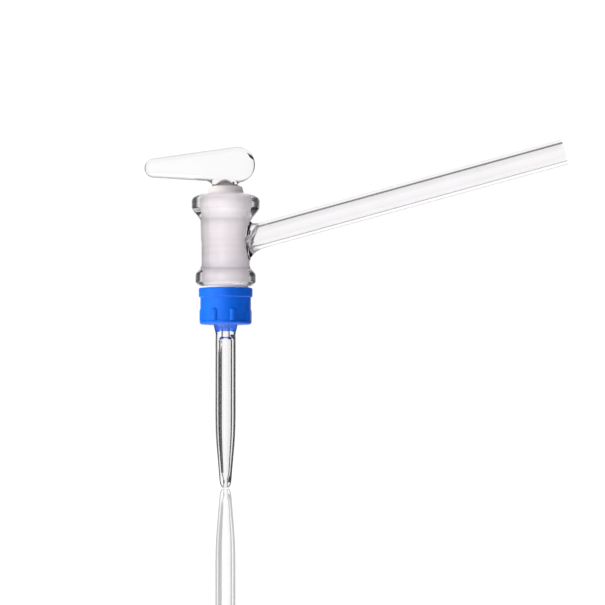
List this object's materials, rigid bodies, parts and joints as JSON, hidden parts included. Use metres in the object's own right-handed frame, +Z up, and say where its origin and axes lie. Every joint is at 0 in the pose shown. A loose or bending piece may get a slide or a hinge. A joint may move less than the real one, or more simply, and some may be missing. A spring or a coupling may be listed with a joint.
{
  "type": "glass stopcock",
  "caption": "Laboratory glass stopcock with a slanting inlet tube, a ground plug turned by a paddle handle, a screw-on retaining nut and an outlet jet through the plug.",
  "frame": {"origin": "centre of the jet's mouth, on the axis that the plug turns about", "axes": "+Z up along the plug's axis, from the jet to the handle; +X to the side that the inlet tube rises towards; the handle's narrow end points to -X at rest"},
  "size_m": [0.1747, 0.0282, 0.1435],
  "materials": {
    "barrel_glass": "clear, with a frosted ground bore",
    "plug_glass": "clear, with a frosted ground cone",
    "washer_plastic": "smooth, slightly waxy",
    "ring_rubber": "matt",
    "nut_plastic": "moulded, satin gloss"
  },
  "bodies": {
    "barrel": {"barrel": "barrel_glass"},
    "plug": {"plug": "plug_glass"},
    "rings": {"washer": "washer_plastic", "o_ring": "ring_rubber"},
    "nut": {"nut": "nut_plastic"}
  },
  "joints": [
    {"name": "plug_turn", "type": "hinge", "parent": "barrel", "child": "plug", "pos_m": [0, 0, 0.1], "axis": [0, 0, 1], "continuous": true},
    {"name": "ring_slide", "type": "slide", "parent": "plug", "child": "rings", "axis": [0, 0, -1], "range_m": [0, 0.006]},
    {"name": "nut_turn", "type": "hinge", "parent": "rings", "child": "nut", "pos_m": [0, 0, 0.075], "axis": [0, 0, -1], "range_deg": [0, 1080]}
  ],
  "couplings": [
    {"joint": "ring_slide", "follows": "nut_turn", "m_per_rad": 0.00031831}
  ]
}
